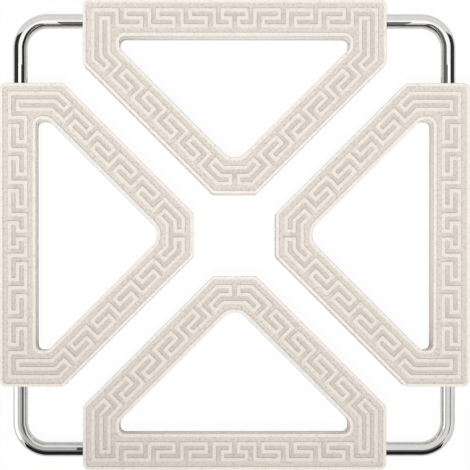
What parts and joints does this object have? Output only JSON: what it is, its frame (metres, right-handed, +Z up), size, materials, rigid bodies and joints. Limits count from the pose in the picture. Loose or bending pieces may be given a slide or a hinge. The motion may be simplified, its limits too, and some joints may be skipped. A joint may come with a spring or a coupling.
{
  "type": "expanding trivet",
  "caption": "Expanding table trivet: triangular key-patterned panels slide apart on bent chrome corner rods to carry hot dishes of different sizes.",
  "frame": {"origin": "on the table under the trivet's centre, in the half-open place shown", "axes": "+Z up out of the table, front panel towards -Y, right panel towards +X"},
  "size_m": [0.2032, 0.2032, 0.0127],
  "materials": {
    "cover_silicone": "cream silicone, matt, finely speckled brown and pink",
    "chrome": "bright chrome plate",
    "frame_nylon": "moulded nylon, fine texture",
    "bush_acetal": "white acetal, satin",
    "stop_steel": "plain steel ring",
    "screw_steel": "zinc-plated steel",
    "foot_rubber": "soft rubber, matt"
  },
  "bodies": {
    "front_panel": {"front_cover": "cover_silicone", "front_upper_frame": "frame_nylon", "front_lower_frame": "frame_nylon", "front_screws": "screw_steel", "front_feet": "foot_rubber", "front_right_bush": "bush_acetal", "front_left_bush": "bush_acetal"},
    "front_right_rod": {"front_right_rod": "chrome", "front_right_stop": "stop_steel", "right_front_stop": "stop_steel"},
    "right_panel": {"right_cover": "cover_silicone", "right_upper_frame": "frame_nylon", "right_lower_frame": "frame_nylon", "right_screws": "screw_steel", "right_feet": "foot_rubber", "right_back_bush": "bush_acetal", "right_front_bush": "bush_acetal"},
    "back_right_rod": {"back_right_rod": "chrome", "right_back_stop": "stop_steel", "back_right_stop": "stop_steel"},
    "back_panel": {"back_cover": "cover_silicone", "back_upper_frame": "frame_nylon", "back_lower_frame": "frame_nylon", "back_screws": "screw_steel", "back_feet": "foot_rubber", "back_left_bush": "bush_acetal", "back_right_bush": "bush_acetal"},
    "back_left_rod": {"back_left_rod": "chrome", "back_left_stop": "stop_steel", "left_back_stop": "stop_steel"},
    "left_panel": {"left_cover": "cover_silicone", "left_upper_frame": "frame_nylon", "left_lower_frame": "frame_nylon", "left_screws": "screw_steel", "left_feet": "foot_rubber", "left_front_bush": "bush_acetal", "left_back_bush": "bush_acetal"},
    "front_left_rod": {"front_left_rod": "chrome", "left_front_stop": "stop_steel", "front_left_stop": "stop_steel"}
  },
  "joints": [
    {"name": "left_side_slide", "type": "slide", "parent": "front_panel", "child": "front_left_rod", "axis": [-1, 0, 0], "range_m": [-0.0083, 0.012]},
    {"name": "front_to_back_slide", "type": "slide", "parent": "front_left_rod", "child": "left_panel", "axis": [0, 1, 0], "range_m": [-0.0083, 0.012]},
    {"name": "left_panel_back_slide", "type": "slide", "parent": "left_panel", "child": "back_left_rod", "axis": [0, 1, 0], "range_m": [-0.0083, 0.012]},
    {"name": "back_panel_left_slide", "type": "slide", "parent": "back_left_rod", "child": "back_panel", "axis": [1, 0, 0], "range_m": [-0.0083, 0.012]},
    {"name": "right_side_slide", "type": "slide", "parent": "front_panel", "child": "front_right_rod", "axis": [1, 0, 0], "range_m": [-0.0083, 0.012]},
    {"name": "right_panel_front_slide", "type": "slide", "parent": "front_right_rod", "child": "right_panel", "axis": [0, 1, 0], "range_m": [-0.0083, 0.012]},
    {"name": "right_panel_back_slide", "type": "slide", "parent": "right_panel", "child": "back_right_rod", "axis": [0, 1, 0], "range_m": [-0.0083, 0.012]}
  ],
  "couplings": [
    {"joint": "back_panel_left_slide", "follows": "left_side_slide", "ratio": 1},
    {"joint": "left_panel_back_slide", "follows": "front_to_back_slide", "ratio": 1},
    {"joint": "right_panel_front_slide", "follows": "front_to_back_slide", "ratio": 1},
    {"joint": "right_panel_back_slide", "follows": "front_to_back_slide", "ratio": 1}
  ]
}
